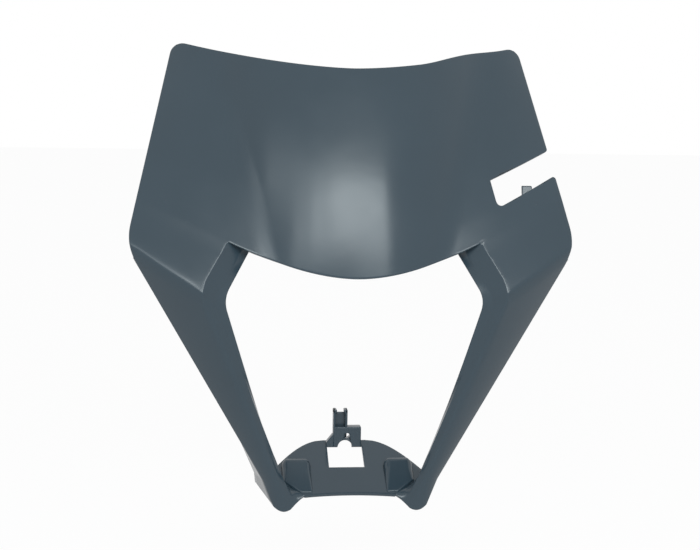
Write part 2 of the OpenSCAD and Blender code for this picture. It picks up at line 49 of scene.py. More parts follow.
top_w, top_z, top_mid_z, top_power = 244.4, 129.9, 112.6, 1.65
top_corner_r, top_swell, swell_x, swell_half = 9.0, 2.2, 80.0, 36.0
nose_z, arc_w, arc_end_z, arc_power = -22.7, 169.0, -1.5, 1.85
mid_lean, mid_curve = 0.24, 15.0
crease_top_x, crease_low_x = 93.0, 58.5
bulge_top, bulge_low = 39.0, 16.0
edge_top_y, edge_seam_y = 108.0, 48.0
wing_crown, ridge_rise = 2.0, 0.5

shoulder_w, shoulder_z, shoulder_y, shoulder_round = 302.6, -5.1, 33.0, 15.0
bend_w, bend_z, bend_y, bend_round = 206.8, -33.3, 24.0, 13.0
reveal_w, reveal_y, return_w, return_y = 10.2, 5.0, 6.3, 2.0
foot_w, foot_z, leg_foot_w, foot_outer_z = 105.0, -157.0, 7.2, -165.0
tip_z, tip_w, tip_y, tip_half = -186.2, 92.0, 28.0, 5.4
lip_y, side_y, side_flare, side_start = 3.0, 57.0, 7.0, 0.82
leg_crown, tip_crown = 1.2, 2.2

notch_x, notch_z, notch_h, notch_lean = 93.4, 39.1, 18.2, 4.2
notch_upper_deg, notch_lower_deg = 23.4, 25.7
notch_r, jaw_r = 3.5, 2.2

shelf_deg, shelf_z, shelf_arch = 26.0, -175.4, 1.6
shelf_front_y, shelf_back_y, shelf_back_w, shelf_t = 32.5, 82.0, 30.0, 2.4
window_w, window_front_y, window_back_y = 25.0, 56.0, 77.5
gusset_y = 43.0
pad_w, pad_x, pad_h, pad_back_y = 20.5, 25.5, 6.0, 61.0

clip_x, clip_w, clip_top_z, clip_d = -3.2, 10.2, -127.3, 7.0
block_w, block_h, block_hole_r, block_screw_x = 18.2, 11.5, 1.9, 1.8
arch_r, arch_x, arch_web = 5.1, 0.3, 1.3
clip_skin, clip_ear, clip_slot, web_w, web_h = 1.8, 2.6, 2.8, 4.8, 9.5

screw_spacing, screw_r, screw_depth, boss_r = 90.0, 2.1, 9.0, 5.0
hook_outer_x, hook_inner_x, hook_outer_z, hook_inner_z = 122.6, 66.0, 34.0, 40.0
hook_w, hook_t, hook_reach, hook_rise = 7.0, 3.2, 17.0, 12.0

# Columns and rows of the source's skin, and how finely each is divided here
n_bulge, n_wing, n_face = 9, 3, 5
n_half = n_bulge + n_wing + n_face
n_start, n_round, n_leg, n_foot = 3, 6, 13, 4
n_rows = n_start + n_round + n_leg + n_foot
col_steps, row_steps, panel_rows = 5, 4, 96


# Formulas of the skin
def lerp(a, b, t):
    return a + (b - a) * t


def clamp01(t):
    return max(0.0, min(1.0, t))


def bump(t):
    """A round hill from 0 at -1 over 1 at 0 to 0 at 1."""
    return (1 + math.cos(math.pi * t)) / 2 if abs(t) < 1 else 0.0


corner_x, arc_x, shoulder_x = top_w / 2, arc_w / 2, shoulder_w / 2
bend_x, foot_x, tip_x = bend_w / 2, foot_w / 2, tip_w / 2
foot_outer_x = foot_x + leg_foot_w
seam_z = shoulder_z + 2 * shoulder_round


def edge_x(z):
    return lerp(shoulder_x, corner_x, (z - shoulder_z) / (top_z - shoulder_z))


seam_x = edge_x(seam_z)


def top_edge(x):
    return (top_mid_z + (top_z - top_mid_z) * (abs(x) / corner_x) ** top_power
            + top_swell * bump((x - swell_x) / swell_half))


def low_edge(x):
    if abs(x) <= arc_x:
        return nose_z + (arc_end_z - nose_z) * (abs(x) / arc_x) ** arc_power
    return lerp(arc_end_z, seam_z, (abs(x) - arc_x) / (seam_x - arc_x))


crease_low_z = low_edge(crease_low_x)
crease_top_z = top_edge(-crease_top_x)
ridge_x0, ridge_z0, ridge_above, ridge_below = 36.0, -1.5, 30.0, 16.0
ridge_past_notch, ridge_past_arc, ridge_fade = 4.0, 60.0, 30.0
ridge_slope = ((notch_z - notch_h - ridge_z0)
               / (notch_x + notch_lean + ridge_past_notch - ridge_x0))


def ridge(x, z):
    """The low ridge from the bulge to the notch, as a change of depth."""
    d = z - ridge_z0 - ridge_slope * (x - ridge_x0)
    side = max(0.0, 1 - (d / ridge_above if d > 0 else -d / ridge_below))
    along = clamp01((x - ridge_x0) / ridge_fade) * clamp01((arc_x + ridge_past_arc - x) / ridge_fade)
    return -ridge_rise * side * along


def depth(x, z):
    """Depth of the front skin behind the nose at a point of the front view."""
    mid = mid_lean * (z - nose_z) + mid_curve * ((z - nose_z) / (top_mid_z - nose_z)) ** 2
    t = (z - crease_low_z) / (crease_top_z - crease_low_z)
    xa = lerp(crease_low_x, crease_top_x, t)
    rise = lerp(bulge_low, bulge_top, t)
    a = abs(x)
    if a <= xa:
        return ridge(x, z) + mid + rise * (a / xa) ** 2
    edge = lerp(edge_seam_y, edge_top_y, (z - seam_z) / (top_z - seam_z))
    w = (a - xa) / (edge_x(z) - xa)
    return ridge(x, z) + lerp(mid + rise, edge, w) - 4 * wing_crown * w * (1 - w)


# Half the width over which the panel's creases are rounded, left and right, and the distance
# right of the middle from which the right one holds
crease_soft_left, crease_soft_right, soft_blend_x = 7.5, 9.0, 45.0
soft_samples = (-3, -2, -1, 0, 1, 2, 3)


def soft_depth(x, z):
    """The same depth with its creases rounded, as a mould has them."""
    reach = lerp(crease_soft_left, crease_soft_right, clamp01(x / soft_blend_x))
    parts = [depth(x + reach * k / soft_samples[-1], z) for k in soft_samples]
    return sum(parts) / len(parts)


def col_top_x(a):
    if a <= n_bulge:
        return crease_top_x * a / n_bulge
    return lerp(crease_top_x, corner_x, (a - n_bulge) / (n_wing + n_face))


def col_low_x(a):
    if a <= n_bulge:
        return crease_low_x * a / n_bulge
    if a <= n_bulge + n_wing:
        return lerp(crease_low_x, arc_x, (a - n_bulge) / n_wing)
    return lerp(arc_x, seam_x, (a - n_bulge - n_wing) / n_face)


def panel_point(i, v):
    """A point of the panel: i counts columns from the middle, v runs from top to bottom."""
    side = -1 if i < 0 else 1
    x0, x1 = side * col_top_x(abs(i)), side * col_low_x(abs(i))
    x = lerp(x0, x1, v)
    z = lerp(top_edge(x0), low_edge(x1), v)
    return Vector((x, soft_depth(x, z), z))


def mirror_x(p):
    return Vector((-p.x, p.y, p.z))


def panel_end(s, i):
    """Lower end of a column on side s. Both legs are worked out on the right side."""
    p = panel_point(s * i, 1)
    return p if s > 0 else mirror_x(p)


shelf_slope = math.tan(math.radians(shelf_deg))


def shelf_height(y):
    return shelf_z + shelf_slope * (y - shelf_front_y)


def rail(a, b, c, d, r, j):
    """A point of a rail with a rounded corner at row j: straight, round, straight, foot."""
    ab, bc = (b - a).normalized(), (c - b).normalized()
    p, q = b - r * ab, b + r * bc
    if j <= n_start:
        return lerp(a, p, j / n_start)
    if j <= n_start + n_round:
        t = (j - n_start) / n_round
        return lerp(lerp(p, b, t), lerp(b, q, t), t)
    if j <= n_start + n_round + n_leg:
        return lerp(q, c, (j - n_start - n_round) / n_leg)
    return lerp(c, d, (j - n_start - n_round - n_leg) / n_foot)


# Where the reveal and the return start, measured from the end of the inner crease,
# and how far below the bend of that crease they turn
reveal_start, return_start = Vector((-14, 9.5, 0.6)), Vector((-20.5, 17, 2.2))
inner_drop = 5.6
reveal_turn, return_turn = 0.8 * bend_round, 0.7 * bend_round

# The bend stands this much further forward than in the source, which lays the fold of
# each leg in the plane of its wing
bend_forward = 13.5
bend_front_y = bend_y - bend_forward

# How strongly the return bows forward between its bend and the foot
return_hollow = 0.8

# Feet and tips: the rails meet the shelf's sides, then close round each tip
foot_forward, foot_edge_back, return_foot_in = 1, 6, 5
foot_y = bend_y - foot_forward
foot_edge_y = foot_y + foot_edge_back
foot_reveal = Vector((-4.2, 4.5, -1))
return_foot_x = foot_x - return_foot_in
tip_edge, tip_outer_rise, tip_inner_rise = 1, 3, 1.2
tip_outer = Vector((tip_x + tip_half + tip_edge, tip_y, tip_z + tip_outer_rise))
tip_inner = Vector((tip_x - tip_half, tip_y, tip_z + tip_inner_rise))
tip_front = Vector((0, -0.6, 0))
tip_to_shelf, shelf_sink, shelf_corner_x = 0.3, -0.3, 31.0
shelf_corner_y = shelf_front_y - shelf_arch
shelf_corner = Vector((shelf_corner_x, shelf_corner_y, shelf_height(shelf_corner_y) - shelf_sink))


def folded(p, a, b, c, r, j):
    """The same point of a rail with the depth of the unrounded corner, for a crisp fold."""
    ab, bc = (b - a).normalized(), (c - b).normalized()
    turn = (j - n_start) / n_round
    if 0 < turn < 1:
        p.y = b.y - ab.y * r * (1 - 2 * turn) if turn < 0.5 else b.y + bc.y * r * (2 * turn - 1)
    return p


def outer_rail(s, j):
    a, b = panel_end(s, n_half), Vector((shoulder_x, shoulder_y, shoulder_z))
    c = Vector((foot_outer_x, foot_edge_y, foot_outer_z))
    return folded(rail(a, b, c, tip_outer, shoulder_round, j), a, b, c, shoulder_round, j)


def crease_rail(s, j):
    a, b = panel_end(s, n_bulge + n_wing), Vector((bend_x, bend_front_y, bend_z))
    c = Vector((foot_x, foot_y, foot_z))
    return folded(rail(a, b, c, tip_inner + tip_front, bend_round, j), a, b, c, bend_round, j)


def reveal_rail(s, j):
    return rail(panel_end(s, n_bulge + n_wing) + reveal_start,
                Vector((bend_x - reveal_w, bend_front_y + reveal_y, bend_z - inner_drop)),
                Vector((foot_x, foot_y, foot_z)) + foot_reveal,
                lerp(tip_inner, shelf_corner, tip_to_shelf), reveal_turn, j)


def return_rail(s, j):
    bend = Vector((bend_x - reveal_w - return_w, bend_front_y + reveal_y + return_y,
                   bend_z - inner_drop))
    p = rail(panel_end(s, n_bulge + n_wing) + return_start, bend,
             Vector((return_foot_x, gusset_y, shelf_height(gusset_y) - shelf_sink)),
             shelf_corner, return_turn, j)
    down = clamp01((j - n_start - n_round) / n_leg)
    if 0 < down < 1:
        p.y -= return_hollow * (gusset_y - bend.y) * down * (1 - down)
    return p


foot_row = n_rows - n_foot
side_row = n_start + n_round - 1

# The side wall: how it starts at the shoulder, then deepens and flares, and where it ends
side_lead, side_run, side_deepen, side_flare_share = 0.3, 2, 0.7, 0.75
side_out, side_tip_in, side_tip_up = 0.3, 2.4, 12.4


def foot_t(j):
    """How far a row lies down the foot, from 0 to 1."""
    return max(0.0, (j - foot_row) / n_foot)


def side_rail(s, j):
    edge = outer_rail(s, min(j, foot_row))
    leg_t = clamp01((j - n_start - n_round) / n_leg)
    g = max(0.0, (leg_t - side_start) / (1 - side_start))
    back = (lip_y * clamp01((j - side_row + side_lead) / side_run)
            + side_deepen * g * (side_y - edge.y - lip_y))
    tip = Vector((foot_outer_x + side_flare - side_tip_in, side_y, tip_z + side_tip_up))
    return lerp(edge + Vector((side_out + side_flare_share * side_flare * g, back, 0)),
                tip, foot_t(j))


# Columns of a leg, counted from the back of its side wall inwards
n_reveal, n_return = 2, 2
k_edge = 1
k_crease = k_edge + n_face
k_reveal = k_crease + n_reveal
k_return = k_reveal + n_return


def leg_face(s, k, j):
    """A point of the leg's crowned face between its outer edge and its inner crease."""
    u = (k - k_edge) / n_face
    swell = 4 * u * (1 - u)
    return (lerp(outer_rail(s, j), crease_rail(s, j), u)
            - swell * Vector((0, leg_crown, tip_crown * foot_t(j))))


def leg_point(s, k, j):
    """A point of a leg at a column and a row, on the right side."""
    if k < k_edge:
        return lerp(side_rail(s, j), outer_rail(s, j), k / k_edge)
    if k <= k_crease:
        if j < 1:
            return lerp(panel_end(s, n_half - (k - k_edge)), leg_face(s, k, 1), j)
        return leg_face(s, k, j)
    if k <= k_reveal:
        return lerp(crease_rail(s, j), reveal_rail(s, j), (k - k_crease) / n_reveal)
    return lerp(reveal_rail(s, j), return_rail(s, j), (k - k_reveal) / n_return)


# Helpers for meshes
side_word = {-1: "left", 1: "right"}
cut_dist, on_plane = 1e-4, 1e-5


def unit2(x, z):
    """A direction in the front view."""
    n = math.hypot(x, z)
    return Vector((x / n, 0, z / n))


def to_frame(bm):
    """From mm counted from the nose to metres in the part's own frame."""
    bmesh.ops.translate(bm, verts=bm.verts, vec=(0, -seat_y, 0))
    bmesh.ops.scale(bm, verts=bm.verts, vec=(MM, MM, MM))


def piece(name, bm, material, smooth_deg=38.0):
    """A piece of the cowl from its mesh, smooth up to an angle between faces."""
    to_frame(bm)
    mesh = bpy.data.meshes.new(name)
    bm.to_mesh(mesh)
    bm.free()
    for face in mesh.polygons:
        face.use_smooth = True
    mesh.set_sharp_from_angle(angle=math.radians(smooth_deg))
    mesh.materials.append(material)
    obj = bpy.data.objects.new(name, mesh)
    bpy.context.scene.collection.objects.link(obj)
    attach(obj, "root")
    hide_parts(NODE)
    return obj


def give_wall(obj, thickness):
    """A wall behind a sheet, thickness in mm."""
    shell = obj.modifiers.new("wall", "SOLIDIFY")
    shell.thickness = thickness * MM
    shell.offset = -1
    return shell


def soft_edges(obj, width, segments, angle=40):
    """Round edges where faces turn by more than an angle in degrees, width in mm."""
    edges = obj.modifiers.new("soft_edges", "BEVEL")
    edges.width = width * MM
    edges.segments = segments
    edges.limit_method = "ANGLE"
    edges.angle_limit = math.radians(angle)
    return edges


def whole_geometry(faces):
    """Faces with their edges and corners, each once and always in the same order."""
    edges = (e for f in faces for e in f.edges)
    verts = (v for f in faces for v in f.verts)
    return list(dict.fromkeys([*faces, *edges, *verts]))


def verts_in(result):
    """The vertices among what a bmesh operator gives back."""
    return [g for g in result["geom"] if isinstance(g, bmesh.types.BMVert)]


def face_up(bm):
    """Let the normals of a sheet that lies flat point up."""
    bmesh.ops.recalc_face_normals(bm, faces=bm.faces)
    if sum(f.normal.z for f in bm.faces) < 0:
        bmesh.ops.reverse_faces(bm, faces=bm.faces)


def tangent_cut(bm, corner, a, b, r, near, steps=7):
    """Round one corner of the sheet: a and b point from it along its two sides."""
    half = math.acos(max(-1.0, min(1.0, a.dot(b)))) / 2
    centre = corner + (a + b).normalized() * r / math.sin(half)
    n0 = (corner + a * r / math.tan(half) - centre).normalized()
    n1 = (corner + b * r / math.tan(half) - centre).normalized()
    for step in range(1, steps):
        n = n0.slerp(n1, step / steps)
        faces = [f for f in bm.faces
                 if math.hypot(f.calc_center_median().x - corner.x,
                               f.calc_center_median().z - corner.z) < near]
        bmesh.ops.bisect_plane(bm, geom=whole_geometry(faces), dist=cut_dist,
                               plane_co=centre + r * n, plane_no=n, clear_outer=True)


def cut_out(bm, outline, x_range, z_range):
    """Cut a convex opening through the sheet: planes through the sides of its outline."""
    planes = []
    middle = sum(outline, Vector()) / len(outline)
    for p, q in zip(outline, outline[1:] + outline[:1]):
        run = (q - p).normalized()
        n = Vector((run.z, 0, -run.x))
        if n.dot(middle - p) > 0:
            n = -n
        planes.append((p, n))

    def inside(face, count):
        c = face.calc_center_median()
        if not (x_range[0] < c.x < x_range[1] and z_range[0] < c.z < z_range[1]):
            return False
        return all(n.dot(Vector((c.x, 0, c.z)) - p) < on_plane for p, n in planes[:count])

    for index, (p, n) in enumerate(planes):
        faces = [f for f in bm.faces if inside(f, index)]
        bmesh.ops.bisect_plane(bm, geom=whole_geometry(faces), dist=cut_dist,
                               plane_co=p, plane_no=n)
    bmesh.ops.delete(bm, geom=[f for f in bm.faces if inside(f, len(planes))], context="FACES")


# Material
def noise_on(tree, coords, scale, detail):
    """Noise on a piece's own coordinates."""
    noise = tree.nodes.new("ShaderNodeTexNoise")
    noise.inputs["Scale"].default_value = scale
    noise.inputs["Detail"].default_value = detail
    tree.links.new(coords.outputs["Object"], noise.inputs["Vector"])
    return noise.outputs["Fac"]


def glossy_plastic():
    """Injection-moulded plastic, glossy, with faint flow marks and mould waviness."""
    mat = bpy.data.materials.new("slate_gloss_plastic")
    mat.use_nodes = True
    tree = mat.node_tree
    nodes, links = tree.nodes, tree.links
    shader = nodes["Principled BSDF"]
    shader.inputs["IOR"].default_value = 1.5
    coords = nodes.new("ShaderNodeTexCoord")

    flow = noise_on(tree, coords, scale=14.0, detail=3.0)
    tint = nodes.new("ShaderNodeValToRGB")
    tint.color_ramp.elements[0].position = 0.3
    tint.color_ramp.elements[0].color = (0.024, 0.043, 0.058, 1)
    tint.color_ramp.elements[1].position = 0.7
    tint.color_ramp.elements[1].color = (0.027, 0.047, 0.063, 1)
    links.new(flow, tint.inputs["Fac"])
    links.new(tint.outputs["Color"], shader.inputs["Base Color"])

    haze = noise_on(tree, coords, scale=38.0, detail=5.0)
    rough = nodes.new("ShaderNodeMapRange")
    rough.inputs["From Min"].default_value = 0.3
    rough.inputs["From Max"].default_value = 0.7
    rough.inputs["To Min"].default_value = 0.17
    rough.inputs["To Max"].default_value = 0.23
    links.new(haze, rough.inputs["Value"])
    links.new(rough.outputs["Result"], shader.inputs["Roughness"])

    waves = noise_on(tree, coords, scale=220.0, detail=2.0)
    relief = nodes.new("ShaderNodeBump")
    relief.inputs["Strength"].default_value = 0.05
    relief.inputs["Distance"].default_value = 0.0004
    links.new(waves, relief.inputs["Height"])
    links.new(relief.outputs["Normal"], shader.inputs["Normal"])
    return mat


plastic = glossy_plastic()


# The skin: points of its grids closer than grid_merge are joined, and on the finished rim
# those closer than edge_merge
grid_merge, edge_merge = 0.02, 0.12

# The inner crease is crisp down to crispness below the bend, with a radius that catches
# the light, where the faces turn by more than crease_deg. Points within crease_match of
# its rail lie on it
crease_r, crease_segments, crease_deg, crease_match = 0.5, 3, 9, 0.05
crispness, crisp_rows = 8.0, n_start + n_round + 2
crease_points = [crease_rail(1, j / row_steps) for j in range(crisp_rows * row_steps)]

# How far from each fold its depths are levelled, and in how many passes. On the inner
# crease each row gives its passes and the height from the bend below which they are made
seam_past_arc, seam_reach, seam_passes = 4, 10, 14
fold_reach, fold_passes = 6, 12
crease_reach, crease_foot_reach = 4.2, 2.0
crease_fade = ((2, -crispness), (4, -14), (6, -22), (8, -36), (10, -60))

# The notch: steps of its round inner corner, how far its outline runs out past the edge,
# the range round it in which faces are cut, and the radius and range of its jaws. Below
# them the range and steps of the wings' upper corners
notch_steps, mouth_past_edge = 6, 12
range_left, range_right, range_low, range_high = 4, 9, 6, 36
upper_jaw_r, upper_jaw_near, lower_jaw_near = 0.7 * jaw_r, 7, 8
corner_near, corner_steps = 15, 12
edge_run = unit2(shoulder_x - corner_x, shoulder_z - top_z)


def soften(bm, verts, passes):
    """Round folds by levelling depth alone, so that no outline moves."""
    for _ in range(passes):
        bmesh.ops.smooth_vert(bm, verts=verts, factor=0.5,
                              use_axis_x=False, use_axis_y=True, use_axis_z=False)


def crease_at(z):
    """Distance of the inner crease from the middle at a height below the bend."""
    if z > foot_z:
        return lerp(foot_x, bend_x, clamp01((z - foot_z) / (bend_z - foot_z)))
    return lerp(foot_x, tip_inner.x, clamp01((z - foot_z) / (tip_inner.z - foot_z)))


def on_crease(p):
    """Whether a point lies on the crisp stretch of the inner crease."""
    return p.z > bend_z - crispness and any(
        math.hypot(abs(p.x) - c.x, p.z - c.z) < crease_match for c in crease_points)


def fold_z(x):
    """Height of the fold between a wing and its leg, at a distance from the middle."""
    return lerp(bend_z, shoulder_z, (abs(x) - bend_x) / (shoulder_x - bend_x))


def panel_and_legs():
    """The outer face of the whole skin."""
    bm = bmesh.new()
    panel = bmesh.ops.create_grid(
        bm, x_segments=2 * n_half * col_steps, y_segments=panel_rows, size=1.0)
    for v in panel["verts"]:
        v.co = panel_point(v.co.x * n_half, (1 - v.co.y) / 2)
    for side in (1, -1):
        leg = bmesh.ops.create_grid(
            bm, x_segments=k_return * col_steps, y_segments=n_rows * row_steps, size=1.0)
        verts = leg["verts"]
        faces = list(dict.fromkeys(f for v in verts for f in v.link_faces))
        no_wall = [f for f in faces
                   if (f.calc_center_median().x + 1) / 2 * k_return < k_edge
                   and (1 - f.calc_center_median().y) / 2 * n_rows < side_row]
        bmesh.ops.delete(bm, geom=no_wall, context="FACES")
        for v in verts:
            if v.is_valid:
                k = round((v.co.x + 1) / 2 * k_return * col_steps) / col_steps
                j = round((1 - v.co.y) / 2 * n_rows * row_steps) / row_steps
                p = leg_point(side, k, j)
                v.co = p if side > 0 else mirror_x(p)
    bmesh.ops.remove_doubles(bm, verts=bm.verts, dist=grid_merge)
    bmesh.ops.recalc_face_normals(bm, faces=bm.faces)
    return bm


def round_folds(bm):
    """A radius on the crisp creases, and softer folds everywhere else."""
    crisp = [e for e in bm.edges if e.is_manifold and e.calc_face_angle(0) > math.radians(crease_deg)
             and all(on_crease(v.co) and not v.is_boundary for v in e.verts)]
    bmesh.ops.bevel(bm, geom=crisp, offset=crease_r, offset_type="OFFSET", segments=crease_segments,
                    profile=0.5, affect="EDGES", material=-1, clamp_overlap=True)

    inner = [v for v in bm.verts if not v.is_boundary]
    seam = [v for v in inner
            if arc_x + seam_past_arc < abs(v.co.x) and abs(v.co.z - low_edge(v.co.x)) < seam_reach]
    soften(bm, seam, seam_passes)
    fold = [v for v in inner
            if bend_x < abs(v.co.x) and abs(v.co.z - fold_z(v.co.x)) < fold_reach]
    soften(bm, fold, fold_passes)
    creases = [v for v in inner
               if abs(abs(v.co.x) - crease_at(v.co.z))
               < (crease_reach if v.co.z > foot_z else crease_foot_reach)]
    for passes, below in crease_fade:
        soften(bm, [v for v in creases if v.co.z < bend_z + below], passes)


def at_edge(p, run):
    """Where a line from p meets the outer edge of the right wing."""
    c = Vector((corner_x, 0, top_z)) - p
    across = run.x * edge_run.z - run.z * edge_run.x
    return p + run * (c.x * edge_run.z - c.z * edge_run.x) / across


def rising(degrees):
    """The direction in the front view that rises to the right by an angle."""
    return unit2(math.cos(math.radians(degrees)), math.sin(math.radians(degrees)))


def cut_notch(bm):
    """The notch in the right wing, with its round inner corner and jaws."""
    up_run, low_run = rising(notch_upper_deg), rising(notch_lower_deg)
    top = Vector((notch_x, 0, notch_z))
    end = top + Vector((notch_lean, 0, -notch_h))
    to_top = (top - end).normalized()
    half = math.acos(to_top.dot(low_run)) / 2
    centre = end + (to_top + low_run).normalized() * notch_r / math.sin(half)
    reach = notch_r / math.tan(half)
    n0 = (end + reach * to_top - centre).normalized()
    n1 = (end + reach * low_run - centre).normalized()
    rounding = [centre + notch_r * n0.slerp(n1, t / notch_steps) for t in range(notch_steps + 1)]
    upper_jaw, lower_jaw = at_edge(top, up_run), at_edge(end, low_run)
    outline = [top, *rounding, lower_jaw + mouth_past_edge * low_run,
               upper_jaw + mouth_past_edge * up_run]
    cut_out(bm, outline, (notch_x - range_left, shoulder_x + range_right),
            (notch_z - notch_h - range_low, notch_z + range_high))
    tangent_cut(bm, upper_jaw, -up_run, -edge_run, upper_jaw_r, upper_jaw_near)
    tangent_cut(bm, lower_jaw, -low_run, edge_run, jaw_r, lower_jaw_near)


def round_top_corners(bm):
    """The round upper outer corners of both wings."""
    slope = (top_z - top_mid_z) * top_power / corner_x
    for side in (-1, 1):
        tangent_cut(bm, Vector((side * corner_x, 0, top_z)), unit2(-side, -slope),
                    Vector((side * edge_run.x, 0, edge_run.z)), top_corner_r,
                    corner_near, corner_steps)


def skin():
    """Panel, wings and legs as one moulded wall."""
    bm = panel_and_legs()
    round_folds(bm)
    cut_notch(bm)
    round_top_corners(bm)
    rim = [v for v in bm.verts if v.is_boundary]
    bmesh.ops.remove_doubles(bm, verts=rim, dist=edge_merge)
    obj = piece("cowl_skin", bm, plastic)
    give_wall(obj, wall).use_quality_normals = True
    soft_edges(obj, width=0.35, segments=2, angle=50).use_clamp_overlap = False


# Shelf, pads and clip at the feet
def box_at(bm, low, high):
    """A box between two corners."""
    low, high = Vector(low), Vector(high)
    cube = bmesh.ops.create_cube(bm, size=1.0)
    bmesh.ops.scale(bm, verts=cube["verts"], vec=high - low)
    bmesh.ops.translate(bm, verts=cube["verts"], vec=(low + high) / 2)


def sheet_of_outline(bm, loops):
    """A flat sheet inside the first loop, with the other loops as holes."""
    edges = []
    for loop in loops:
        verts = [bm.verts.new(p) for p in loop]
        edges += [bm.edges.new(pair) for pair in zip(verts, verts[1:] + verts[:1])]
    bmesh.ops.triangle_fill(bm, use_beauty=True, use_dissolve=False, edges=edges)


def thicken(bm, vec):
    """Draw all faces of a flat sheet out along vec to a closed solid."""
    moved = bmesh.ops.extrude_face_region(bm, geom=list(bm.faces), use_keep_orig=True)
    bmesh.ops.translate(bm, verts=verts_in(moved), vec=vec)
    bmesh.ops.recalc_face_normals(bm, faces=bm.faces)


def round_points(x, z, r, steps, turn):
    """Points on a circle in the front view, each a step of turn / steps further on."""
    angles = [turn * t / steps for t in range(steps + 1)]
    return [(x + r * math.cos(angle), z + r * math.sin(angle)) for angle in angles]


# How far the shelf reaches into the skin, and the depth over which it widens behind the gusset
shelf_overlap, shelf_widen = 0.4, 1.5
shelf_side_x = foot_outer_x + shelf_overlap

# The shelf's grid: the share of its half width beside the window, and the share of its rows
# that lies in front of each depth
shelf_cols, shelf_rows, window_u, same_row = 40, 40, 0.4, 1e-6
shelf_marks = ((0.0, shelf_corner.y), (0.45, window_front_y),
               (0.85, window_back_y), (1.0, shelf_back_y))
shelf_arch_power = 6


def shelf_half_width(y):
    """Half the shelf's width at a depth."""
    if y < gusset_y:
        along = (y - shelf_corner.y) / (gusset_y - shelf_corner.y)
        return lerp(shelf_corner_x, return_foot_x, along)
    turn = math.acos(clamp01((y - gusset_y) / (shelf_back_y - gusset_y))) / (math.pi / 2)
    wide = lerp(shelf_back_w / 2, shelf_side_x, turn)
    return min(wide, lerp(return_foot_x, shelf_side_x, (y - gusset_y) / shelf_widen))


def shelf_on_slope(x, y, up=0.0):
    """A point of the shelf's top face at a depth, or above it by a distance square to it."""
    tilt = math.radians(shelf_deg)
    return Vector((x, y - up * math.sin(tilt), shelf_height(y) + up * math.cos(tilt)))


def shelf():
    """The sloping shelf with its window and the arch over the lower screw."""
    bm = bmesh.new()
    grid = bmesh.ops.create_grid(bm, x_segments=shelf_cols, y_segments=shelf_rows, size=1.0)
    for v in grid["verts"]:
        u, t = v.co.x, (v.co.y + 1) / 2
        for (t0, y0), (t1, y1) in zip(shelf_marks, shelf_marks[1:]):
            if t <= t1 + same_row:
                y = lerp(y0, y1, (t - t0) / (t1 - t0))
                break
        if abs(u) <= window_u:
            x = window_w / 2 * u / window_u
        else:
            beside = (abs(u) - window_u) / (1 - window_u)
            x = math.copysign(lerp(window_w / 2, shelf_half_width(y), beside), u)
        # The front edge is a shallow arch
        y += shelf_arch * (1 - t) ** shelf_arch_power * (1 - min(1.0, (x / shelf_corner_x) ** 2))
        v.co = shelf_on_slope(x, y)
    bmesh.ops.delete(bm, context="FACES", geom=[
        f for f in bm.faces
        if abs(f.calc_center_median().x) < window_w / 2
        and window_front_y < f.calc_center_median().y < window_back_y])
    for x in (arch_x - arch_r, arch_x + arch_r):
        behind = [f for f in bm.faces if f.calc_center_median().y > window_back_y]
        bmesh.ops.bisect_plane(bm, geom=whole_geometry(behind), dist=cut_dist,
                               plane_co=(x, 0, 0), plane_no=(1, 0, 0))
    bmesh.ops.delete(bm, context="FACES", geom=[
        f for f in bm.faces
        if abs(f.calc_center_median().x - arch_x) < arch_r
        and f.calc_center_median().y > window_back_y])
    face_up(bm)
    obj = piece("cowl_shelf", bm, plastic)
    give_wall(obj, shelf_t)
    soft_edges(obj, width=0.5, segments=2, angle=50)


pad_round, pad_front_round, pad_corner_r = 4.2, 1.2, 5.5
pad_front_h, pad_sink, pad_margin, pad_steps = 0.6, 0.5, 0.5, 40


def lamp_pad(side):
    """A wedge on the shelf that rises to the back, with round upper edges and back corners."""
    bm = bmesh.new()
    grid = bmesh.ops.create_grid(bm, x_segments=pad_steps, y_segments=pad_steps, size=1.0)
    # The outermost ring is a skirt that goes down into the shelf
    within = pad_steps / (pad_steps - 2)
    for v in grid["verts"]:
        skirt = max(abs(v.co.x), abs(v.co.y)) > 1 - 1 / pad_steps
        u, t = (max(-1.0, min(1.0, c * within)) for c in (v.co.x, v.co.y))
        t = (t + 1) / 2
        along = (pad_x + pad_w * (u + 1) / 2 - shelf_corner_x) / (return_foot_x - shelf_corner_x)
        front = max(shelf_front_y, lerp(shelf_corner_y, gusset_y, along)) + pad_margin
        y = lerp(front, pad_back_y, t)
        to_back = pad_back_y - y
        left_over = max(0.0, pad_corner_r - to_back)
        half = pad_w / 2 - pad_corner_r + math.sqrt(pad_corner_r ** 2 - left_over ** 2)
        up = lerp(pad_front_h, pad_h, (y - shelf_front_y) / (pad_back_y - shelf_front_y))
        for r, away in ((min(pad_round, up), min(half * (1 - abs(u)), to_back)),
                        (min(pad_front_round, up / 2), y - front)):
            inset = max(0.0, r - away)
            up += math.sqrt(r ** 2 - inset ** 2) - r
        v.co = shelf_on_slope(side * (pad_x + pad_w / 2 + half * u), y, -pad_sink if skirt else up)
    face_up(bm)
    piece("lamp_pad_" + side_word[side], bm, plastic, smooth_deg=60)


# The clip stands clip_gap in front of the shelf's back edge. The back of its post starts
# post_over_arch above the arch, and its sides go post_overlap down into the block
clip_gap, post_over_arch, post_overlap, web_inset = 0.4, 1, 1, 0.5
arch_steps, hole_steps = 16, 24
clip_y = shelf_back_y - clip_d - clip_gap
clip_floor_z = shelf_height(window_back_y) - shelf_t / 2
clip_left_x = clip_x - clip_w / 2
block_right_x = clip_left_x + clip_skin + block_w
block_z = shelf_height(shelf_back_y) + block_h
block_screw_z = clip_floor_z + arch_r + block_hole_r + arch_web


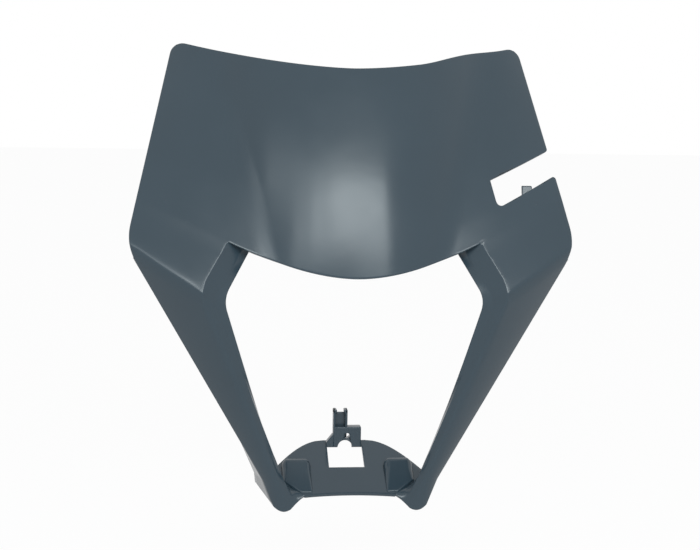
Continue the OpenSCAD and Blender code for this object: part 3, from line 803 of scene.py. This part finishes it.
def clip_post():
    """The upright of the clip: a back, two sides and the ears that turn in at its top."""
    right_x, back_y = clip_left_x + clip_w, clip_y + clip_d
    bm = bmesh.new()
    box_at(bm, (clip_left_x, back_y - clip_skin, clip_floor_z + arch_r + post_over_arch),
           (right_x, back_y, clip_top_z - clip_slot))
    ear = clip_ear - clip_skin
    sides = ((clip_left_x, clip_left_x + clip_skin, ear), (right_x - clip_skin, right_x, -ear))
    for x0, x1, lean in sides:
        box_at(bm, (x0, clip_y, block_z - post_overlap), (x1, back_y, clip_top_z))
        box_at(bm, (min(x0, x0 + lean), clip_y, clip_top_z - clip_slot),
               (max(x1, x1 + lean), back_y, clip_top_z))
    soft_edges(piece("clip_post", bm, plastic), width=0.7, segments=3)


def clip_block():
    """The block under the post, over the arch and with its small hole."""
    arch = round_points(arch_x, clip_floor_z, arch_r, arch_steps, math.pi)
    outline = [(clip_left_x, clip_floor_z), *reversed(arch), (block_right_x, clip_floor_z),
               (block_right_x, block_z), (clip_left_x, block_z)]
    hole = round_points(block_screw_x, block_screw_z, block_hole_r, hole_steps, 2 * math.pi)[:-1]
    bm = bmesh.new()
    sheet_of_outline(bm, [[(x, clip_y, z) for x, z in loop] for loop in (outline, hole)])
    thicken(bm, (0, clip_d, 0))
    soft_edges(piece("clip_block", bm, plastic), width=1.0, segments=3)


def clip_web():
    """The slanted web left of the block."""
    foot_x0, top_web_z = clip_left_x - web_w, clip_floor_z + web_h
    outline = [(foot_x0, clip_floor_z), (clip_left_x + clip_skin, clip_floor_z),
               (clip_left_x + clip_skin, top_web_z), (clip_left_x, top_web_z),
               (foot_x0, shelf_height(shelf_back_y))]
    bm = bmesh.new()
    sheet_of_outline(bm, [[(x, clip_y + web_inset, z) for x, z in outline]])
    thicken(bm, (0, clip_d - 2 * web_inset, 0))
    soft_edges(piece("clip_web", bm, plastic), width=0.6, segments=3)


# Bosses, hooks and webs behind the panel
boss_steps, hook_lean = 40, 3.2

# The web at the top of a reveal: its rise, its thickness, how far out it runs, the share of
# the skin's wall that lies in front of its upper edge, how far its lower corners stand off
# the rails, and how far its rear side is set outwards and back
reveal_web_rise, reveal_web_t, reveal_web_out, reveal_web_sink = 9.0, 2.0, 1, 0.6
reveal_web_low, reveal_web_top = Vector((0, 0.6, 0.8)), Vector((0.6, -0.6, 0.8))
reveal_web_aside, reveal_web_back = 0.5, 0.4


def lamp_boss(side):
    """A round boss behind the panel with a blind hole for the lamp's screw."""
    bm = bmesh.new()
    bmesh.ops.create_circle(bm, cap_ends=True, segments=boss_steps, radius=boss_r)
    bmesh.ops.rotate(bm, verts=bm.verts, matrix=Matrix.Rotation(math.radians(-90), 3, "X"))
    bmesh.ops.translate(bm, verts=bm.verts, vec=(side * screw_spacing / 2, seat_y, 0))
    seat = list(bm.faces)
    rim = [e for e in bm.edges if e.is_boundary]
    for v in verts_in(bmesh.ops.extrude_edge_only(bm, edges=rim)):
        v.co.y = depth(v.co.x, v.co.z) + wall / 2
    bmesh.ops.inset_individual(bm, faces=seat, thickness=boss_r - screw_r, depth=0.0)
    hole = [f for f in bm.faces if len(f.verts) == boss_steps]
    deep = bmesh.ops.extrude_face_region(bm, geom=hole)
    bmesh.ops.translate(bm, verts=verts_in(deep), vec=(0, -screw_depth, 0))
    bmesh.ops.delete(bm, geom=hole, context="FACES_ONLY")
    bmesh.ops.recalc_face_normals(bm, faces=bm.faces)
    soft_edges(piece("lamp_boss_" + side_word[side], bm, plastic), width=0.4, segments=2)


def strap_hook(name, x, tip_height):
    """A hook that reaches back from the panel and turns up to a leaning tip."""
    arm_z = tip_height - hook_rise
    start = depth(x, arm_z) + wall / 2
    reach = depth(x, arm_z) + hook_reach
    half = hook_t / 2
    outline = [(start, arm_z - half), (reach, arm_z - half), (reach + hook_t, arm_z + half),
               (reach + hook_t + hook_lean, tip_height), (reach + hook_lean, tip_height),
               (reach, arm_z + half), (start, arm_z + half)]
    bm = bmesh.new()
    sheet_of_outline(bm, [[(x - hook_w / 2, y, z) for y, z in outline]])
    thicken(bm, (hook_w, 0, 0))
    soft_edges(piece(name, bm, plastic), width=0.6, segments=3)


def reveal_web(side):
    """Stiffens the upper end of a reveal against the back of the panel."""
    top, low = return_rail(side, 0), reveal_rail(side, 0)

    def against(p):
        x, z = p.x + reveal_web_out, p.z + reveal_web_rise
        return Vector((x, depth(side * x, z) + wall * reveal_web_sink, z))

    front = [low + reveal_web_low, top + reveal_web_top, against(top), against(low)]
    bm = bmesh.new()
    sheet_of_outline(bm, [[p if side > 0 else mirror_x(p) for p in front]])
    thicken(bm, (side * reveal_web_aside, reveal_web_back, reveal_web_t))
    soft_edges(piece("reveal_web_" + side_word[side], bm, plastic), width=0.3, segments=2)


skin()
shelf()
clip_post()
clip_block()
clip_web()
for side, word in side_word.items():
    lamp_pad(side)
    lamp_boss(side)
    reveal_web(side)
    strap_hook("outer_hook_" + word, side * hook_outer_x, hook_outer_z)
    strap_hook("inner_hook_" + word, side * hook_inner_x, hook_inner_z)


# Camera, as fitted to the photograph: lengths in mm, angles in degrees
target_x, target_y, target_z, camera_distance = -1.8, 40.0, -25.65, 945.3
camera_azimuth, camera_elevation, camera_roll = -5.89, 8.07, 1.0
sensor_w, lens = 36.0, 72.0


def place_camera():
    target = Vector((target_x, target_y - seat_y, target_z)) * MM
    azimuth, elevation = math.radians(camera_azimuth), math.radians(camera_elevation)
    roll = math.radians(camera_roll)
    forward = Vector((-math.sin(azimuth) * math.cos(elevation),
                      math.cos(azimuth) * math.cos(elevation), -math.sin(elevation)))
    level = forward.cross(Vector((0, 0, 1))).normalized()
    upright = level.cross(forward)
    right = math.cos(roll) * level + math.sin(roll) * upright
    up = math.cos(roll) * upright - math.sin(roll) * level
    data = bpy.data.cameras.new("camera")
    data.sensor_width, data.lens = sensor_w, lens
    camera = bpy.data.objects.new("camera", data)
    place = Matrix((right, up, -forward)).transposed().to_4x4()
    place.translation = target - forward * camera_distance * MM
    camera.matrix_world = place
    bpy.context.scene.collection.objects.link(camera)
    bpy.context.scene.camera = camera


place_camera()


# World and floor: both show plain white to the camera and in reflections. The floor keeps
# 1 - floor_glow of its own shade, so that the shadow shows. Floor sizes in metres
floor_glow, floor_half, floor_z = 0.96, 6.0, -0.26


def seen_rays(tree):
    """1 for camera, glossy and transmission rays, and 0 for all others."""
    path = tree.nodes.new("ShaderNodeLightPath")
    first = tree.nodes.new("ShaderNodeMath")
    first.operation = "MAXIMUM"
    tree.links.new(path.outputs["Is Camera Ray"], first.inputs[0])
    tree.links.new(path.outputs["Is Glossy Ray"], first.inputs[1])
    both = tree.nodes.new("ShaderNodeMath")
    both.operation = "MAXIMUM"
    tree.links.new(first.outputs[0], both.inputs[0])
    tree.links.new(path.outputs["Is Transmission Ray"], both.inputs[1])
    return both.outputs[0]


def mix_to_output(tree, share, plain, shown, output):
    """Surface of an output: plain, with shown in its place by a share."""
    mix = tree.nodes.new("ShaderNodeMixShader")
    tree.links.new(share, mix.inputs["Fac"])
    tree.links.new(plain.outputs[0], mix.inputs[1])
    tree.links.new(shown.outputs[0], mix.inputs[2])
    tree.links.new(mix.outputs[0], tree.nodes[output].inputs["Surface"])


def studio_world():
    world = bpy.data.worlds.new("studio")
    bpy.context.scene.world = world
    world.use_nodes = True
    tree = world.node_tree
    back = tree.nodes["Background"]
    back.inputs["Color"].default_value = (0.62, 0.64, 0.66, 1)
    back.inputs["Strength"].default_value = 0.5
    seen = tree.nodes.new("ShaderNodeBackground")
    seen.inputs["Color"].default_value = (1, 1, 1, 1)
    seen.inputs["Strength"].default_value = 1.0
    mix_to_output(tree, seen_rays(tree), back, seen, "World Output")


def pale_floor():
    mat = bpy.data.materials.new("pale_floor")
    mat.use_nodes = True
    tree = mat.node_tree
    diffuse = tree.nodes["Principled BSDF"]
    diffuse.inputs["Base Color"].default_value = (0.9, 0.9, 0.9, 1)
    diffuse.inputs["Roughness"].default_value = 0.9
    glow = tree.nodes.new("ShaderNodeEmission")
    glow.inputs["Color"].default_value = (1, 1, 1, 1)
    glow.inputs["Strength"].default_value = 1.0
    share = tree.nodes.new("ShaderNodeMath")
    share.operation = "MULTIPLY"
    share.inputs[1].default_value = floor_glow
    tree.links.new(seen_rays(tree), share.inputs[0])
    mix_to_output(tree, share.outputs[0], diffuse, glow, "Material Output")

    bm = bmesh.new()
    bmesh.ops.create_grid(bm, x_segments=1, y_segments=1, size=floor_half)
    bmesh.ops.translate(bm, verts=bm.verts, vec=(0, 0, floor_z))
    mesh = bpy.data.meshes.new("floor")
    bm.to_mesh(mesh)
    bm.free()
    mesh.materials.append(mat)
    floor = bpy.data.objects.new("floor", mesh)
    bpy.context.scene.collection.objects.link(floor)


studio_world()
pale_floor()


# A large soft light above the camera, brightest towards its right edge, whose reflection
# lies on the bulge of the panel: nested sheets of light share that edge. Each row is a
# sheet's name, its left, lower and upper edge in metres, its power, and its tilt in degrees
soft_tint = (0.90, 0.98, 1.0)
light_y, light_right = -1.5, 0.90
sheets = (("soft_core", -0.42, 0.72, 1.06, 10.4, 0.0),
          ("soft_inner", -0.85, 0.66, 1.06, 12.5, 0.0),
          ("soft_outer", -1.35, 0.62, 1.08, 9.5, 0.0),
          ("soft_rim", -2.70, 0.80, 1.18, 8.0, -14.0))


def light_sheet(name, left, low, high, power, tilt):
    """An upright sheet of light that faces back over the object."""
    data = bpy.data.lights.new(name, "AREA")
    data.shape = "RECTANGLE"
    data.size, data.size_y = light_right - left, high - low
    data.energy = power
    data.color = soft_tint
    obj = bpy.data.objects.new(name, data)
    obj.location = ((left + light_right) / 2, light_y, (low + high) / 2)
    facing = Vector((0, -light_y, 0)).to_track_quat("-Z", "Y").to_matrix()
    obj.rotation_euler = (facing @ Matrix.Rotation(math.radians(tilt), 3, "Z")).to_euler()
    bpy.context.scene.collection.objects.link(obj)


for sheet in sheets:
    light_sheet(*sheet)

scene = bpy.context.scene
scene.view_settings.view_transform = "Standard"
